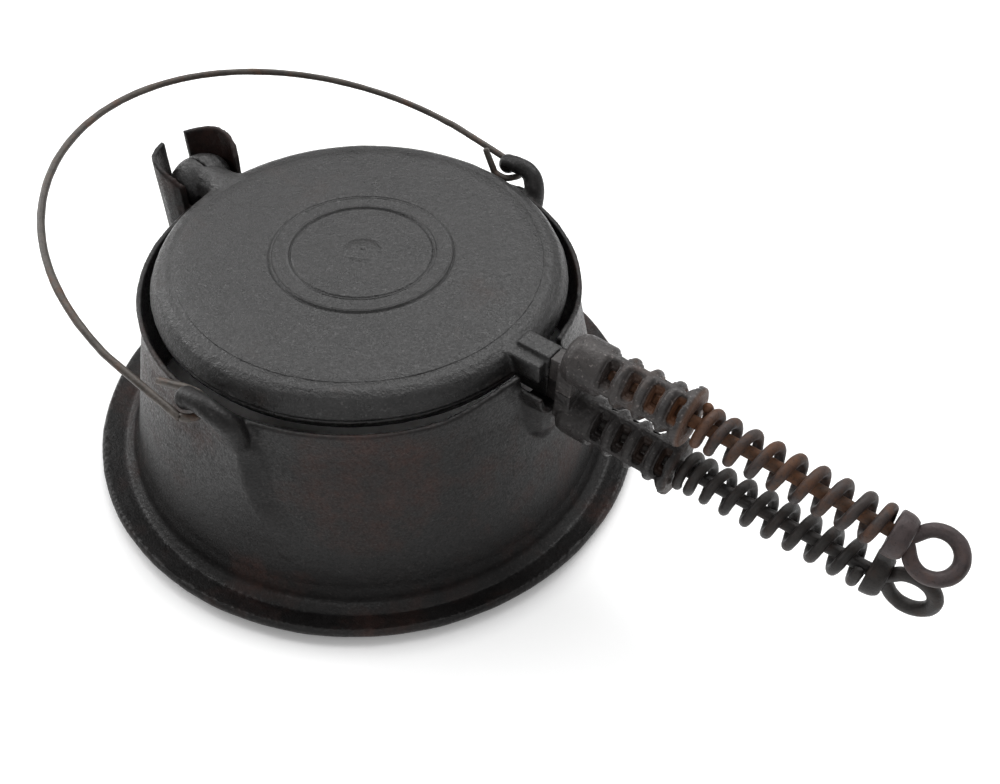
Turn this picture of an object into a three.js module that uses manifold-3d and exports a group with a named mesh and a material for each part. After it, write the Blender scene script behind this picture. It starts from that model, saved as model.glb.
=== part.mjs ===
// Stovetop waffle iron: two patterned iron plates, hinged on a split ball, lie in a high flared base with a wire bail.
// Millimetres, +Z up, handles toward +X. The origin is on the stove, under the middle of the whole object.
import * as THREE from "three";
import { mergeVertices } from "three/addons/utils/BufferGeometryUtils.js";
import Module from "manifold-3d";

// Clearances and overruns that every piece shares
const fitGap = 0.3;
const cutOverrun = 4;
const partingGap = 0.3;

// Base casting: brim, flared wall and rim
const brimRadius = 140;
const lipHeight = 8.2;
const lipWidth = 3.6;
const dishHeight = 3.8;
const dishInnerRadius = 128.5;
const wallFootHeight = 21.7;
const wallFootRadius = 118;
const wallShoulderHeight = 82;
const wallShoulderRadius = 103.3;
const rimHeight = 95.6;
const rimRadius = 102.7;
const rimBeadHeight = 4.2;
const rimBeadRelief = 0.6;
const wallThickness = 3.1;

// Plates
const plateRadius = 96;
const partingHeight = 97.5;
const plateThickness = 10.4;
const crownRadius = 83.8;
const crownStep = 0.5;
const recessRadius = 90;
const recessDepth = 6.9;
const plateLipHeight = 1.4;
const plateLipRelief = 0.8;

// Waffle pattern
const pegPitch = 17;
const pegBase = 11;
const pegTip = 9.2;
const pegRecess = 2.5;
const dividerWidth = 4.4;
const dividerGroove = 4.7;
const pegEdgeMargin = 2;

// Medallion on the upper plate
const medallionRadius = 41.9;
const medallionBand = 4.6;
const medallionHeight = 0.8;
const bossRadius = 9;

// Split ball hinge
const ballX = -112;
const ballRadius = 12.5;
const ballHalfWidth = 17;
const neckRadius = 11;
const neckFlareStartX = -98.6;
const neckFlareEndX = -85;
const neckFlareHalfWidth = 17;
const neckFlareHeight = 11;
const pivotPegRadius = 3.4;
const pivotPegLength = 6;

// Ball socket on the base
const socketInnerLength = 14.6;
const socketInnerWidth = 19.8;
const socketWall = 2.7;
const socketTopHeight = 117;
const socketFloorHeight = 78;
const socketFloorThickness = 3;
const socketFootHeight = 24;
const socketSlotHalfWidth = 6.5;
const socketSlotBottom = 92;
const socketEarPeakX = -119;
const socketEarBendX = -107;
const socketEarFrontX = -103;
const socketEarBackDrop = 0.5;
const socketEarBendDrop = 3.4;
const socketEarFrontDrop = 11;

// Lugs, which join the plates to their handles, and the saddle they rest in
const lugHalfWidth = 4.6;
const lugHeight = 11.7;
const lugEndX = 108;
const lugPadStartX = 88;
const lugPadEndX = 106.8;
const lugPadHalfWidth = 10.6;
const lugPadHeight = 9.4;
const tenonHalfWidth = 2.2;
const tenonHeight = 4.4;
const tenonLength = 5.5;
const saddleWall = 2.9;
const saddleEndX = 113;
const saddleEdgeDrop = 1.2;
const saddleFairingBottom = 40;
const saddleFairingFootRadius = 6;
const humpHeight = 6.5;
const humpStartAngle = THREE.MathUtils.degToRad(33);
const humpPeakAngle = THREE.MathUtils.degToRad(9);

// Handles: slotted ferrule, spring coil, rod with an eye and end cap
const handleOffset = 15.2;
const handleTilt = THREE.MathUtils.degToRad(1.2);
const ferruleRadius = 11;
const ferruleBore = 5.8;
const ferruleStartX = 114.3;
const ferruleShoulderX = 120;
const ferruleBoreStartX = 125;
const ferruleEndX = 172.05;
const ferruleFootEndX = 122;
const ferruleFootHalfWidth = 8.6;
const collarRadius = 12.9;
const collarLength = 3.7;
const slotLength = 6.6;
const slotWidth = 13;
const slotPitch = 10.17;
const firstSlotX = 136.4;
const slotsInRow = 4;
const slotRows = 4;
const rodRadius = 2.65;
const rodSeatDepth = 5;
const coilWireRadius = 2.15;
const coilRadius = 7.1;
const coilTurns = 9.2;
const coilClosedShare = 0.5;
const coilStartRamp = 2.75;
const coilEndRamp = 1;
const coilStartAngle = THREE.MathUtils.degToRad(42);
const capStartX = 252.4;
const capLength = 7.2;
const capRadius = 9.2;
const capTipRadius = 7.2;
const capMouthRadius = 5.8;
const capMouthDepth = 5.4;
const eyeRadius = 8.2;
const eyeWireRadius = 2.65;
const eyeNeck = 10.6;
const eyeX = 269.2;
const upperEyeTurn = THREE.MathUtils.degToRad(37);
const lowerEyeTurn = THREE.MathUtils.degToRad(90);

// Wire bail and the two horns it hangs from
const bailPivotX = 10.8;
const bailPivotHeight = 97;
const bailWireRadius = 1.7;
const bailHalfWidth = 114.5;
const bailReach = 171.9;
const bailLegLength = 35.6;
const bailLean = THREE.MathUtils.degToRad(80);
const hookRadius = 6.8;
const hookTail = 16;
const hornNeckRadius = 2.9;
const hornKnobRadius = 5.2;
const hornKnobX = 4.5;
const hornRootRadius = 4.4;
const hornRootX = 25.4;
const hornRootY = 100.6;
const hornRootHeight = 84;
const hornBendX = 20.6;
const bulgeRise = 6;
const bulgeTopHeight = 94;
const bulgeTopCrestX = 20;
const bulgeTopBack = 16;
const bulgeFootHeight = 24;
const bulgeFootCrestX = 46;
const bulgeFootBack = 74;
const bulgeFront = 7;
const bulgeInset = 96;

// How finely round shapes are divided
const baseSides = 56;
const plateSides = 48;
const handleSides = 20;
const ferruleSides = 16;
const smallSides = 12;
const coilSteps = 8;
const coilSides = 5;
const bailSides = 6;

const wasm = await Module();
wasm.setup();

// Joining and cutting

function solidOf(geometry) {
  const bare = geometry.index ? geometry.toNonIndexed() : geometry.clone();
  bare.deleteAttribute("normal");
  bare.deleteAttribute("uv");
  const merged = mergeVertices(bare);
  const triVerts = new Uint32Array(merged.index.array);
  const build = () =>
    new wasm.Manifold(
      new wasm.Mesh({ numProp: 3, vertProperties: merged.attributes.position.array, triVerts }),
    );
  const made = build();
  if (made.volume() > 0) return made;
  for (let i = 0; i < triVerts.length; i += 3) {
    [triVerts[i + 1], triVerts[i + 2]] = [triVerts[i + 2], triVerts[i + 1]];
  }
  return build();
}

function meshOf(solid, name, material) {
  const { vertProperties, triVerts, numProp } = solid.getMesh();
  const geometry = new THREE.BufferGeometry();
  geometry.setAttribute("position", new THREE.BufferAttribute(vertProperties, numProp));
  geometry.setIndex(new THREE.BufferAttribute(triVerts, 1));
  geometry.computeVertexNormals();
  const mesh = new THREE.Mesh(geometry, material);
  mesh.name = name;
  return mesh;
}

// Basic solids

function boxSolid(minX, maxX, minY, maxY, minZ, maxZ) {
  const box = new THREE.BoxGeometry(maxX - minX, maxY - minY, maxZ - minZ);
  box.translate((minX + maxX) / 2, (minY + maxY) / 2, (minZ + maxZ) / 2);
  return solidOf(box);
}

// A closed profile of [radius, height] points turned round the Z axis.
function turnedAboutZ(profile, sides) {
  const points = profile.map(([radius, height]) => new THREE.Vector2(radius, height));
  return solidOf(new THREE.LatheGeometry(points, sides).rotateX(Math.PI / 2));
}

// A closed profile of [x, radius] points turned round the X axis.
function turnedAboutX(profile, sides) {
  const points = profile.map(([x, radius]) => new THREE.Vector2(radius, x));
  return solidOf(new THREE.LatheGeometry(points, sides).rotateZ(-Math.PI / 2));
}

function cylinderX(minX, maxX, radius, centreY, centreZ, sides) {
  const cylinder = new THREE.CylinderGeometry(radius, radius, maxX - minX, sides).rotateZ(Math.PI / 2);
  return solidOf(cylinder.translate((minX + maxX) / 2, centreY, centreZ));
}

function cylinderY(minY, maxY, radius, centreX, centreZ, sides) {
  const cylinder = new THREE.CylinderGeometry(radius, radius, maxY - minY, sides);
  return solidOf(cylinder.translate(centreX, (minY + maxY) / 2, centreZ));
}

function cylinderZ(minZ, maxZ, radius, centreX, centreY, sides) {
  const cylinder = new THREE.CylinderGeometry(radius, radius, maxZ - minZ, sides).rotateX(Math.PI / 2);
  return solidOf(cylinder.translate(centreX, centreY, (minZ + maxZ) / 2));
}

// A skin through rings of points, closed at both ends.
function loftGeometry(rings) {
  const count = rings[0].length;
  const positions = rings.flat().flatMap((point) => [point.x, point.y, point.z]);
  const index = [];
  for (let ring = 0; ring + 1 < rings.length; ring++) {
    for (let i = 0; i < count; i++) {
      const a = ring * count + i;
      const b = ring * count + ((i + 1) % count);
      index.push(a, b, b + count, a, b + count, a + count);
    }
  }
  const last = (rings.length - 1) * count;
  for (let i = 1; i + 1 < count; i++) {
    index.push(0, i + 1, i, last, last + i, last + i + 1);
  }
  const geometry = new THREE.BufferGeometry();
  geometry.setAttribute("position", new THREE.Float32BufferAttribute(positions, 3));
  geometry.setIndex(index);
  return geometry;
}

function ellipseRing(centreX, centreY, height, halfX, halfY, sides) {
  return Array.from({ length: sides }, (_, i) => {
    const angle = (2 * Math.PI * i) / sides;
    return new THREE.Vector3(centreX + halfX * Math.cos(angle), centreY + halfY * Math.sin(angle), height);
  });
}

// A round wire along a curve.
function wireSolid(curve, radius, steps, sides) {
  const section = new THREE.Shape();
  for (let i = 0; i < sides; i++) {
    const angle = (2 * Math.PI * i) / sides;
    const method = i ? "lineTo" : "moveTo";
    section[method](radius * Math.cos(angle), radius * Math.sin(angle));
  }
  curve.arcLengthDivisions = steps * sides;
  return solidOf(new THREE.ExtrudeGeometry(section, { steps, extrudePath: curve, bevelEnabled: false }));
}

// Base casting

// Outer radius of the wall at a height, along its straight flare.
function wallRadiusAt(height) {
  const slope = (wallFootRadius - wallShoulderRadius) / (wallShoulderHeight - wallFootHeight);
  return wallShoulderRadius + slope * (wallShoulderHeight - height);
}

function baseShell() {
  const flatStart = (wallFootRadius + dishInnerRadius + lipWidth) / 2;
  const filletShares = [
    [0.22, 0.5],
    [0.55, 0.14],
  ];
  const fillet = filletShares.map(([across, up]) => [
    wallFootRadius + across * (dishInnerRadius - wallFootRadius),
    dishHeight + up * (wallFootHeight - dishHeight),
  ]);
  const innerFillet = filletShares.map(([across, up]) => [
    wallFootRadius - wallThickness + across * (dishInnerRadius - wallFootRadius),
    up * (wallFootHeight - dishHeight),
  ]);
  const lipInner = brimRadius - lipWidth;
  const beadBottom = rimHeight - rimBeadHeight;
  const rimInner = rimRadius - wallThickness;
  return turnedAboutZ(
    [
      [flatStart, 0],
      [lipInner - lipWidth / 2, 0],
      [brimRadius - lipWidth / 2, dishHeight / 2],
      [brimRadius, dishHeight + lipWidth / 2],
      [brimRadius - lipWidth / 2, lipHeight],
      [lipInner, lipHeight - lipWidth / 4],
      [dishInnerRadius, dishHeight],
      ...fillet.toReversed(),
      [wallFootRadius, wallFootHeight],
      [wallShoulderRadius, wallShoulderHeight],
      [rimRadius, beadBottom + rimBeadRelief],
      [rimRadius, rimHeight - rimBeadRelief],
      [rimRadius - rimBeadRelief, rimHeight],
      [rimInner + rimBeadRelief, rimHeight],
      [wallShoulderRadius - wallThickness, wallShoulderHeight],
      [wallFootRadius - wallThickness, wallFootHeight],
      ...innerFillet,
      [flatStart, 0],
    ],
    baseSides,
  );
}

// The rim swells into a hump on each side of the handles.
function rimHumps() {
  const steps = 16;
  const foot = rimHeight - rimBeadHeight / 2;
  const rings = Array.from({ length: steps + 1 }, (_, i) => {
    const angle = humpStartAngle * ((2 * i) / steps - 1);
    const share = (humpStartAngle - Math.abs(angle)) / (humpStartAngle - humpPeakAngle);
    const top = rimHeight - rimBeadRelief / 2 + humpHeight * THREE.MathUtils.smoothstep(share, 0, 1);
    const radii = [rimRadius - wallThickness + rimBeadRelief / 2, rimRadius - rimBeadRelief / 2];
    return [
      [radii[0], foot],
      [radii[1], foot],
      [radii[1], top],
      [radii[0], top],
    ].map(
      ([radius, height]) =>
        new THREE.Vector3(radius * Math.cos(angle), radius * Math.sin(angle), height),
    );
  });
  return solidOf(loftGeometry(rings));
}

// The ring of the base that holes and hollows must not reach: everything inside the rim's outer face.
function insideRim(radius, bottom, top) {
  return cylinderZ(bottom, top, radius, 0, 0, baseSides);
}

// The space within the middle of the wall, which nothing that grows on the wall may reach into.
function insideWall() {
  const middle = wallThickness / 2;
  return turnedAboutZ(
    [
      [0, -cutOverrun],
      [wallFootRadius - middle, -cutOverrun],
      [wallFootRadius - middle, wallFootHeight],
      [wallShoulderRadius - middle, wallShoulderHeight],
      [rimRadius - wallThickness, rimHeight],
      [rimRadius - wallThickness, socketTopHeight + cutOverrun],
      [0, socketTopHeight + cutOverrun],
    ],
    baseSides,
  );
}

// A trough for the lugs, faired into the wall below.
const lugReach = Math.max(Math.hypot(lugHalfWidth, lugHeight), Math.hypot(lugPadHalfWidth, lugPadHeight));
const saddleRadius = lugReach + fitGap;
const saddleOuterRadius = saddleRadius + saddleWall;

function fairing(inset) {
  const centreX = saddleEndX - saddleOuterRadius + saddleWall / 2;
  const radius = saddleEndX - centreX - inset;
  const rings = [
    ellipseRing(centreX, 0, saddleFairingBottom, saddleFairingFootRadius, saddleFairingFootRadius, handleSides),
    ellipseRing(centreX, 0, (saddleFairingBottom + partingHeight) / 2, radius, radius, handleSides),
    ellipseRing(centreX, 0, partingHeight, radius, radius, handleSides),
  ];
  return solidOf(loftGeometry(rings));
}

function withSaddle(base) {
  const top = partingHeight - saddleEdgeDrop;
  const rimInner = rimRadius - wallThickness;
  const trough = cylinderX(rimInner, saddleEndX, saddleOuterRadius, 0, partingHeight, handleSides)
    .add(fairing(0))
    .intersect(boxSolid(rimInner, brimRadius, -brimRadius, brimRadius, 0, top));
  const hollowTop = partingHeight - saddleOuterRadius;
  const hollow = fairing(saddleWall).intersect(
    boxSolid(0, brimRadius, -brimRadius, brimRadius, 0, hollowTop),
  );
  const bore = cylinderX(plateRadius - cutOverrun, saddleEndX + cutOverrun, saddleRadius, 0, partingHeight, handleSides);
  const way = boxSolid(
    plateRadius - cutOverrun,
    saddleEndX + cutOverrun,
    -saddleRadius,
    saddleRadius,
    partingHeight,
    partingHeight + saddleRadius,
  );
  return base.add(trough).subtract(hollow).subtract(bore).subtract(way);
}

// The ball's socket: an oval pocket outside the wall, with an ear on each side of a slot at the back.
function socketRings(inset) {
  const halfLength = socketInnerLength + socketWall - inset;
  const halfWidth = socketInnerWidth + socketWall - inset;
  const floorBottom = socketFloorHeight - socketFloorThickness;
  const rings = [
    [socketFootHeight, wallRadiusAt(socketFootHeight) + ballX, halfWidth / 2],
    [floorBottom, halfLength, halfWidth],
    [socketTopHeight, halfLength, halfWidth],
  ];
  return rings.map(([height, halfX, halfY]) => ellipseRing(ballX, 0, height, halfX, halfY, handleSides));
}

// What the ears look like from the side.
function earOutline(reach) {
  const top = socketTopHeight;
  const outline = new THREE.Shape();
  outline.moveTo(ballX - reach, 0);
  outline.lineTo(0, 0);
  outline.lineTo(0, rimHeight - rimBeadHeight);
  outline.lineTo(socketEarFrontX, rimHeight - rimBeadHeight);
  outline.lineTo(socketEarFrontX, top - socketEarFrontDrop);
  outline.quadraticCurveTo(socketEarBendX, top - socketEarBendDrop, socketEarPeakX, top);
  outline.lineTo(ballX - reach, top - socketEarBackDrop);
  outline.closePath();
  const depth = 2 * (socketInnerWidth + socketWall + cutOverrun);
  const body = new THREE.ExtrudeGeometry(outline, { depth, bevelEnabled: false, curveSegments: 6 });
  return solidOf(body.rotateX(Math.PI / 2).translate(0, depth / 2, 0));
}

function withSocket(base) {
  const reach = socketInnerLength + socketWall + cutOverrun / 8;
  const top = socketTopHeight + cutOverrun;
  const floorBottom = socketFloorHeight - socketFloorThickness;
  const boss = solidOf(loftGeometry(socketRings(0)))
    .intersect(earOutline(reach))
    .subtract(insideWall());
  const below = boxSolid(-brimRadius, 0, -brimRadius, brimRadius, 0, floorBottom);
  const hollow = solidOf(loftGeometry(socketRings(socketWall))).intersect(below);
  const pocketRing = (height) =>
    ellipseRing(ballX, 0, height, socketInnerLength, socketInnerWidth, handleSides);
  const wallOutside = insideRim(rimRadius, 0, top);
  const pocket = solidOf(loftGeometry([pocketRing(socketFloorHeight), pocketRing(top)]));
  const notchStart = ballX + ballRadius / 2;
  const notch = cylinderX(
    notchStart,
    cutOverrun - plateRadius,
    neckRadius + fitGap,
    0,
    partingHeight,
    handleSides,
  );
  const wayUp = boxSolid(
    notchStart,
    cutOverrun - plateRadius,
    -neckRadius - fitGap,
    neckRadius + fitGap,
    partingHeight,
    top,
  );
  const slot = boxSolid(
    ballX - reach - cutOverrun,
    ballX,
    -socketSlotHalfWidth,
    socketSlotHalfWidth,
    socketSlotBottom,
    top,
  );
  return base
    .add(boss)
    .subtract(hollow)
    .subtract(pocket.subtract(wallOutside))
    .subtract(notch)
    .subtract(wayUp)
    .subtract(ballRoom())
    .subtract(slot);
}

// The room that the ball sweeps when the plates are turned over.
function ballRoom() {
  const room = new THREE.SphereGeometry(ballHalfWidth + 2 * fitGap, handleSides, handleSides);
  const share = (ballRadius + fitGap) / (ballHalfWidth + 2 * fitGap);
  return solidOf(room.rotateZ(Math.PI / 2).scale(share, 1, 1).translate(ballX, 0, partingHeight));
}

// One horn with the swelling of the wall that carries it. side is 1 toward +Y and -1 toward -Y.
const hornCentreY = bailHalfWidth - hookRadius;
const hornHeight = bailPivotHeight + bailWireRadius + 2 * fitGap + hornNeckRadius;

// The swelling has a crest near its front edge and falls away slowly toward the back.
function bulge(side) {
  const ringShares = [
    [1, -0.1],
    [0.77, 0.6],
    [0.5, 1],
    [0, 1.25],
  ];
  const rings = ringShares.map(([down, proud]) => {
    const mix = (top, foot) => top + down * (foot - top);
    const crestX = mix(bulgeTopCrestX, bulgeFootCrestX);
    const height = mix(bulgeTopHeight, bulgeFootHeight);
    const radius = wallRadiusAt(height) + proud * bulgeRise;
    const rise = Math.sqrt(radius ** 2 - crestX ** 2) - bulgeInset;
    return Array.from({ length: handleSides }, (_, i) => {
      const angle = (2 * Math.PI * i) / handleSides;
      const reach = Math.cos(angle) > 0 ? bulgeFront : mix(bulgeTopBack, bulgeFootBack);
      const y = side * bulgeInset + rise * Math.sin(angle);
      return new THREE.Vector3(crestX + reach * Math.cos(angle), y, height);
    });
  });
  return solidOf(loftGeometry(rings));
}

// A horn grows out of the wall, bends back and ends in a knob.
function hornTrunk(side) {
  const neckEndX = bailPivotX + bailWireRadius + 2 * fitGap;
  const riseShares = [0, 0.4, 0.72, 0.93];
  const outShares = [0, 0.22, 0.5, 0.8];
  const forwardShares = [1, 0.94, 0.66, 0.3];
  const places = riseShares.map((rise, i) => {
    const out = outShares[i];
    const x = hornBendX + (2 * forwardShares[i] - 1) * (hornRootX - hornBendX);
    const y = hornRootY + out * (hornCentreY - hornRootY);
    const z = hornRootHeight + rise * (hornHeight - hornRootHeight);
    return { x, y, z, radius: hornRootRadius + out * (hornNeckRadius - hornRootRadius) };
  });
  places.push({ x: neckEndX, y: hornCentreY, z: hornHeight, radius: hornNeckRadius });
  places.push({ x: hornKnobX, y: hornCentreY, z: hornHeight, radius: hornNeckRadius });
  const centres = places.map(({ x, y, z }) => new THREE.Vector3(x, side * y, z));
  const rings = centres.map((centre, i) => {
    const before = centres[Math.max(i - 1, 0)];
    const after = centres[Math.min(i + 1, centres.length - 1)];
    const tangent = after.clone().sub(before).normalize();
    const across = new THREE.Vector3(0, 1, 0).addScaledVector(tangent, -tangent.y).normalize();
    const up = tangent.clone().cross(across);
    return Array.from({ length: smallSides }, (_, k) => {
      const angle = (2 * Math.PI * k) / smallSides;
      return centre
        .clone()
        .addScaledVector(across, places[i].radius * Math.cos(angle))
        .addScaledVector(up, places[i].radius * Math.sin(angle));
    });
  });
  return solidOf(loftGeometry(rings));
}

function withHorn(base, side) {
  const knob = new THREE.SphereGeometry(hornKnobRadius, smallSides, smallSides / 2);
  knob.translate(hornKnobX, side * hornCentreY, hornHeight);
  const grown = bulge(side).add(hornTrunk(side)).subtract(insideWall());
  return base.add(grown).add(solidOf(knob));
}

function baseCasting() {
  let base = baseShell().add(rimHumps());
  base = withSaddle(base);
  base = withSocket(base);
  base = withHorn(base, 1);
  return withHorn(base, -1);
}

// Plates. Each is drawn as the upper one, with its parting face at height 0; the lower one is the same, turned over.

function plateDisc() {
  const shoulderShares = [
    [0.36, 0.97],
    [0.66, 0.8],
    [0.85, 0.52],
  ];
  const lipRadius = plateRadius - plateLipRelief;
  const shoulder = shoulderShares.map(([across, up]) => [
    crownRadius + across * (lipRadius - crownRadius),
    plateLipHeight + up * (plateThickness - crownStep - plateLipHeight),
  ]);
  const face = partingGap / 2;
  return turnedAboutZ(
    [
      [0, plateThickness],
      [crownRadius - crownStep, plateThickness],
      [crownRadius, plateThickness - crownStep],
      ...shoulder,
      [lipRadius, plateLipHeight + plateLipRelief / 2],
      [plateRadius, plateLipHeight],
      [plateRadius, plateLipHeight / 2],
      [lipRadius, face],
      [recessRadius + pegEdgeMargin / 2, face],
      [recessRadius, recessDepth],
      [0, recessDepth],
    ].toReversed(),
    plateSides,
  );
}

// Square pegs in four quarters, and the two bars between the quarters.
function wafflePattern() {
  const root = recessDepth + crownStep;
  const halfTip = pegTip / 2;
  const halfBase = pegBase / 2;
  const square = (x, y, half, height) =>
    [
      [-1, -1],
      [1, -1],
      [1, 1],
      [-1, 1],
    ].map(([sx, sy]) => new THREE.Vector3(x + sx * half, y + sy * half, height));
  const first = dividerWidth / 2 + dividerGroove + halfBase;
  const places = [];
  for (let along = first; along < recessRadius; along += pegPitch) places.push(along, -along);
  let pattern = null;
  for (const x of places) {
    for (const y of places) {
      const reach = Math.hypot(Math.abs(x) + halfBase, Math.abs(y) + halfBase);
      if (reach > recessRadius - pegEdgeMargin) continue;
      const peg = solidOf(loftGeometry([square(x, y, halfTip, pegRecess), square(x, y, halfBase, root)]));
      pattern = pattern ? pattern.add(peg) : peg;
    }
  }
  const barEnd = recessRadius + pegEdgeMargin / 4;
  const half = dividerWidth / 2;
  return pattern
    .add(boxSolid(-barEnd, barEnd, -half, half, pegRecess, root))
    .add(boxSolid(-half, half, -barEnd, barEnd, pegRecess, root));
}

// The neck spreads where it meets the plate.
function neckFlare() {
  const spreadShares = [0, 0.12, 0.42, 1];
  const rings = spreadShares.map((spread, i) => {
    const along = i / (spreadShares.length - 1);
    const x = neckFlareStartX + along * (neckFlareEndX - neckFlareStartX);
    const halfWidth = neckRadius + spread * (neckFlareHalfWidth - neckRadius);
    const height = neckRadius + spread * (neckFlareHeight - neckRadius);
    const ring = ellipseRing(0, 0, x, height, halfWidth, handleSides);
    return ring.map((point) => new THREE.Vector3(point.z, point.y, point.x));
  });
  return solidOf(loftGeometry(rings));
}

// Half a ball on the hinge, with the neck that carries it.
function hingeHalf() {
  const face = partingGap / 2;
  const reach = ballHalfWidth + cutOverrun;
  const ball = new THREE.SphereGeometry(ballRadius, handleSides, handleSides / 2);
  ball.scale(1, ballHalfWidth / ballRadius, 1).translate(ballX, 0, 0);
  const ballBox = boxSolid(ballX - reach, ballX + reach, -reach, -face, -reach, reach);
  const halfBall = solidOf(ball).intersect(ballBox);
  const neckEnd = -plateRadius + cutOverrun + plateLipRelief;
  const neck = cylinderX(ballX, neckEnd, neckRadius, 0, 0, handleSides)
    .add(neckFlare())
    .intersect(boxSolid(ballX, neckFlareEndX, -reach, reach, face, reach));
  const otherHalf = cylinderY(-face, reach, ballRadius + fitGap, ballX, 0, handleSides);
  return { halfBall, neck: neck.subtract(otherHalf) };
}

function lug() {
  const rootX = plateRadius - cutOverrun - plateLipRelief;
  const body = boxSolid(rootX, lugEndX, -lugHalfWidth, lugHalfWidth, fitGap, lugHeight);
  const tenonBottom = (lugHeight - tenonHeight) / 2;
  const tenon = boxSolid(
    lugEndX - fitGap,
    lugEndX + tenonLength,
    -tenonHalfWidth,
    tenonHalfWidth,
    tenonBottom,
    tenonBottom + tenonHeight,
  );
  const pad = boxSolid(lugPadStartX, lugPadEndX, -lugPadHalfWidth, 0, fitGap, lugPadHeight);
  return body.add(tenon).add(pad);
}

function medallion() {
  const foot = plateThickness - crownStep;
  const top = plateThickness + medallionHeight;
  const inner = medallionRadius - medallionBand;
  const ring = turnedAboutZ(
    [
      [inner, foot],
      [medallionRadius, foot],
      [medallionRadius - medallionHeight, top],
      [inner + medallionHeight, top],
      [inner, foot],
    ],
    plateSides,
  );
  const boss = turnedAboutZ(
    [
      [0, foot],
      [bossRadius, foot],
      [bossRadius, plateThickness],
      [bossRadius / 2, top],
      [0, top],
    ],
    handleSides,
  );
  return ring.add(boss);
}

// The pivot peg is cast on the lower half ball and enters a hole in the upper one.
function plateCasting(isUpper) {
  const face = partingGap / 2;
  const { halfBall, neck } = hingeHalf();
  const plate = plateDisc().add(wafflePattern()).add(neck).add(halfBall).add(lug());
  if (isUpper) {
    const depth = pivotPegLength + fitGap;
    const hole = cylinderY(-depth, cutOverrun, pivotPegRadius + fitGap, ballX, 0, smallSides);
    return plate.add(medallion()).subtract(hole);
  }
  const peg = cylinderY(-face - fitGap, pivotPegLength, pivotPegRadius, ballX, 0, smallSides);
  return plate.add(peg);
}

// Handles. Each is drawn along X with its axis at height 0, for the upper plate.

const rodStartX = ferruleBoreStartX - rodSeatDepth;

// The rods lean toward each other from their seats in the ferrules.
function tiltedAtSeat(solid) {
  const placed = new THREE.Matrix4()
    .makeTranslation(rodStartX, 0, 0)
    .multiply(new THREE.Matrix4().makeRotationY(handleTilt))
    .multiply(new THREE.Matrix4().makeTranslation(-rodStartX, 0, 0));
  return solid.transform(placed.elements);
}

function slotSolid() {
  const half = slotLength / 2;
  const cornerShares = [
    [1, 0.64],
    [0.42, 1],
    [-0.42, 1],
    [-1, 0.64],
    [-1, -0.64],
    [-0.42, -1],
    [0.42, -1],
    [1, -0.64],
  ];
  const corners = cornerShares.map(([along, across]) => new THREE.Vector2(along * half, (across * slotWidth) / 2));
  const depth = ferruleRadius - ferruleBore / 2;
  const body = new THREE.ExtrudeGeometry(new THREE.Shape(corners), { depth, bevelEnabled: false });
  return body.translate(0, 0, ferruleBore - half / 2);
}

function ferrule() {
  const collarStart = ferruleEndX - collarLength;
  const relief = collarRadius - ferruleRadius;
  const bellShares = [
    [0.06, 0.5],
    [0.2, 0.72],
    [0.5, 0.92],
  ];
  const bell = bellShares.map(([along, out]) => [
    ferruleStartX + along * (ferruleShoulderX - ferruleStartX),
    out * ferruleRadius,
  ]);
  const turned = turnedAboutX(
    [
      [ferruleStartX, 0],
      ...bell,
      [ferruleShoulderX, ferruleRadius],
      [collarStart - relief, ferruleRadius],
      [collarStart, collarRadius],
      [ferruleEndX - relief, collarRadius],
      [ferruleEndX, ferruleRadius],
      [ferruleEndX, ferruleBore],
      [ferruleBoreStartX, ferruleBore],
      [ferruleBoreStartX, 0],
    ],
    ferruleSides,
  );
  // The foot is square, so that the two handles lie flat on each other, and a neck reaches from it to the lug.
  const lowest = -handleOffset + fitGap;
  const footStart = ferruleStartX + fitGap;
  const foot = boxSolid(footStart, ferruleFootEndX, -ferruleFootHalfWidth, ferruleFootHalfWidth, lowest, 0);
  const neckEnd = footStart + cutOverrun;
  const neckHalfWidth = lugHalfWidth - fitGap;
  const neckTop = -handleOffset + lugHeight - fitGap;
  const neck = boxSolid(lugEndX + fitGap, neckEnd, -neckHalfWidth, neckHalfWidth, lowest, neckTop);
  const tenonBottom = -handleOffset + (lugHeight - tenonHeight) / 2;
  const socket = boxSolid(
    lugEndX,
    lugEndX + tenonLength + fitGap,
    -tenonHalfWidth - fitGap,
    tenonHalfWidth + fitGap,
    tenonBottom - fitGap,
    tenonBottom + tenonHeight + fitGap,
  );
  let cage = turned.add(foot.subtract(cylinderX(ferruleBoreStartX - fitGap, ferruleEndX, ferruleBore, 0, 0, ferruleSides)));
  cage = cage.add(neck).subtract(socket);
  for (let row = 0; row < slotRows; row++) {
    const angle = (2 * Math.PI * (row + 1 / 2)) / slotRows;
    for (let i = 0; i < slotsInRow; i++) {
      const slot = slotSolid().rotateX(angle).translate(firstSlotX + i * slotPitch, 0, 0);
      cage = cage.subtract(solidOf(slot));
    }
  }
  const rodHole = tiltedAtSeat(
    cylinderX(rodStartX - fitGap, ferruleBoreStartX + cutOverrun, rodRadius + 2 * fitGap, 0, 0, smallSides),
  );
  const reach = ferruleEndX + cutOverrun;
  return cage.subtract(rodHole).intersect(boxSolid(lugEndX, reach, -reach, reach, lowest, reach));
}

// Where the coil's centre line is after each step: close at both ends, open in between.
const coilStart = ferruleEndX + fitGap + coilWireRadius;
const coilEnd = capStartX - fitGap - coilWireRadius;

function coilPlaces() {
  const steps = Math.round(coilTurns * coilSteps);
  const places = [0];
  for (let i = 0; i < steps; i++) {
    const turn = ((i + 1 / 2) * coilTurns) / steps;
    const opening = THREE.MathUtils.smoothstep(turn, 0, coilStartRamp);
    const closing = THREE.MathUtils.smoothstep(coilTurns - turn, 0, coilEndRamp);
    places.push(places[i] + coilClosedShare + (1 - coilClosedShare) * opening * closing);
  }
  return places.map((place) => coilStart + (place / places[steps]) * (coilEnd - coilStart));
}

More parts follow.
